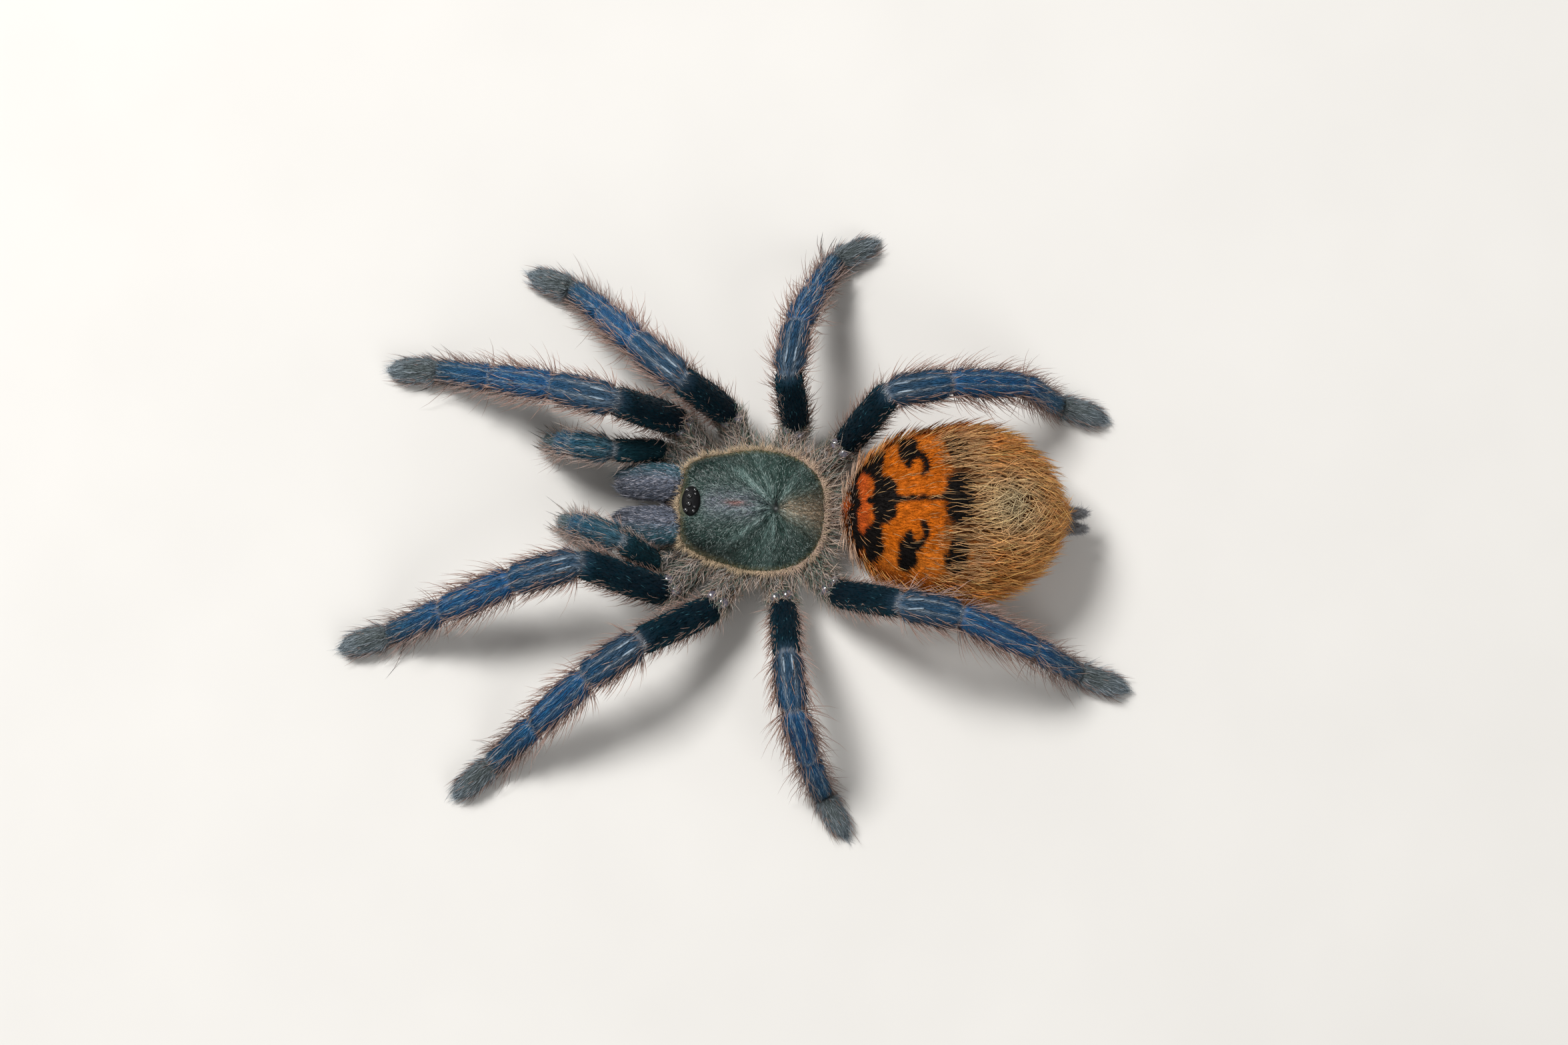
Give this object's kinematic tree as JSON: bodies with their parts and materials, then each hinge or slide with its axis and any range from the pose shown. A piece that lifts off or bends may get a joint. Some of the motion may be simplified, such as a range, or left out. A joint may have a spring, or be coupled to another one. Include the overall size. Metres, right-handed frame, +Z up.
{
  "type": "greenbottle blue tarantula model",
  "caption": "Still life-size model of a young tarantula walking: green carapace, blue legs, orange and black abdomen, standing on flat soles.",
  "frame": {"origin": "on the floor under the middle of the model's box", "axes": "+Z up, the head faces -Y, the spider's left side is +X"},
  "size_m": [0.0488, 0.0626, 0.0122],
  "materials": {
    "shell": "dark bottle-green shell with a soft sheen, fine pale radiating streaks",
    "black_shine": "glossy black",
    "grey_hair": "shaggy grey-beige hair",
    "jaw_coat": "short purplish-grey hair, teal at the outer edges",
    "abdomen_coat": "orange velvet with black marks under long golden hairs",
    "femur_coat": "blue-black velvet",
    "leg_coat": "blue hair with pale lengthwise lines",
    "foot_coat": "blue-grey hair ending in a grey brush"
  },
  "bodies": {
    "root": {"carapace": "shell", "eye_turret": "black_shine", "sternum": "grey_hair", "pedicel": "grey_hair", "abdomen": "abdomen_coat", "chelicera_l": "jaw_coat", "fang_l": "black_shine", "spinneret_l": "grey_hair", "chelicera_r": "jaw_coat", "fang_r": "black_shine", "spinneret_r": "grey_hair", "leg_1_l_coxa": "grey_hair", "leg_1_l_femur": "femur_coat", "leg_1_l_patella": "leg_coat", "leg_1_l_tibia": "leg_coat", "leg_1_l_foot": "foot_coat", "leg_1_r_coxa": "grey_hair", "leg_1_r_femur": "femur_coat", "leg_1_r_patella": "leg_coat", "leg_1_r_tibia": "leg_coat", "leg_1_r_foot": "foot_coat", "leg_2_l_coxa": "grey_hair", "leg_2_l_femur": "femur_coat", "leg_2_l_patella": "leg_coat", "leg_2_l_tibia": "leg_coat", "leg_2_l_foot": "foot_coat", "leg_2_r_coxa": "grey_hair", "leg_2_r_femur": "femur_coat", "leg_2_r_patella": "leg_coat", "leg_2_r_tibia": "leg_coat", "leg_2_r_foot": "foot_coat", "leg_3_l_coxa": "grey_hair", "leg_3_l_femur": "femur_coat", "leg_3_l_patella": "leg_coat", "leg_3_l_tibia": "leg_coat", "leg_3_l_foot": "foot_coat", "leg_3_r_coxa": "grey_hair", "leg_3_r_femur": "femur_coat", "leg_3_r_patella": "leg_coat", "leg_3_r_tibia": "leg_coat", "leg_3_r_foot": "foot_coat", "leg_4_l_coxa": "grey_hair", "leg_4_l_femur": "femur_coat", "leg_4_l_patella": "leg_coat", "leg_4_l_tibia": "leg_coat", "leg_4_l_foot": "foot_coat", "leg_4_r_coxa": "grey_hair", "leg_4_r_femur": "femur_coat", "leg_4_r_patella": "leg_coat", "leg_4_r_tibia": "leg_coat", "leg_4_r_foot": "foot_coat", "palp_l_coxa": "grey_hair", "palp_l_femur": "femur_coat", "palp_l_patella": "leg_coat", "palp_l_foot": "foot_coat", "palp_r_coxa": "grey_hair", "palp_r_femur": "femur_coat", "palp_r_patella": "leg_coat", "palp_r_foot": "foot_coat"}
  },
  "joints": []
}
